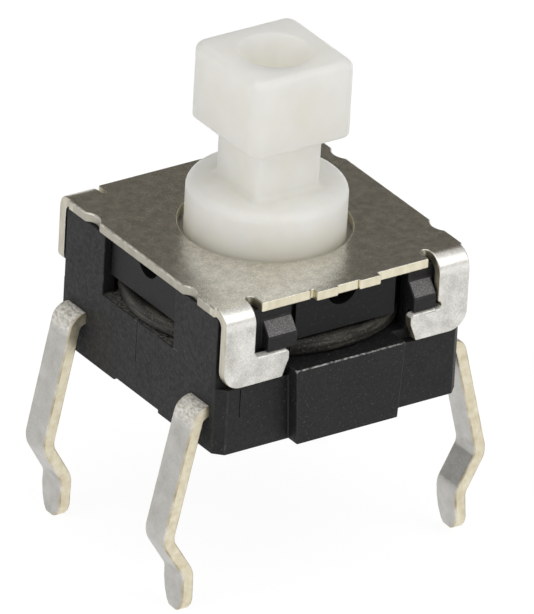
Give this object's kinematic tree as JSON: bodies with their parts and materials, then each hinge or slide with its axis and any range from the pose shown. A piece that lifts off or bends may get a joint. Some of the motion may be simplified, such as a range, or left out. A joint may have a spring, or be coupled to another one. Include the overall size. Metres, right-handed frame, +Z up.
{
  "type": "tactile push button switch",
  "caption": "Sealed tactile push button switch with a square-headed plunger, a hooked metal cover and kinked snap-in terminals for a circuit board.",
  "frame": {"origin": "centre of the base's underside, on the circuit board's upper face", "axes": "+Z up along the plunger's travel, X across the faces where the terminals leave, -Y the front face"},
  "size_m": [0.0078, 0.0066, 0.0108],
  "materials": {
    "black_plastic": "fine matte moulding",
    "tinned_brass": "satin tin plate with sheared brass edges",
    "spring_steel": "bright rolled strip",
    "black_rubber": "rough moulded rubber",
    "white_plastic": "satin, slightly translucent moulding",
    "cover_steel": "satin sheet with sheared edges"
  },
  "bodies": {
    "housing": {"base": "black_plastic", "front_terminals": "tinned_brass", "rear_terminals": "tinned_brass", "snap_dome": "spring_steel", "seal": "black_rubber", "retainer": "black_plastic", "cover": "cover_steel"},
    "button": {"plunger": "white_plastic"}
  },
  "joints": [
    {"name": "press", "type": "slide", "parent": "housing", "child": "button", "axis": [0, 0, -1], "range_m": [0, 0.00025], "stiffness_N_per_m": 6300, "deforming": ["snap_dome", "seal"]}
  ]
}
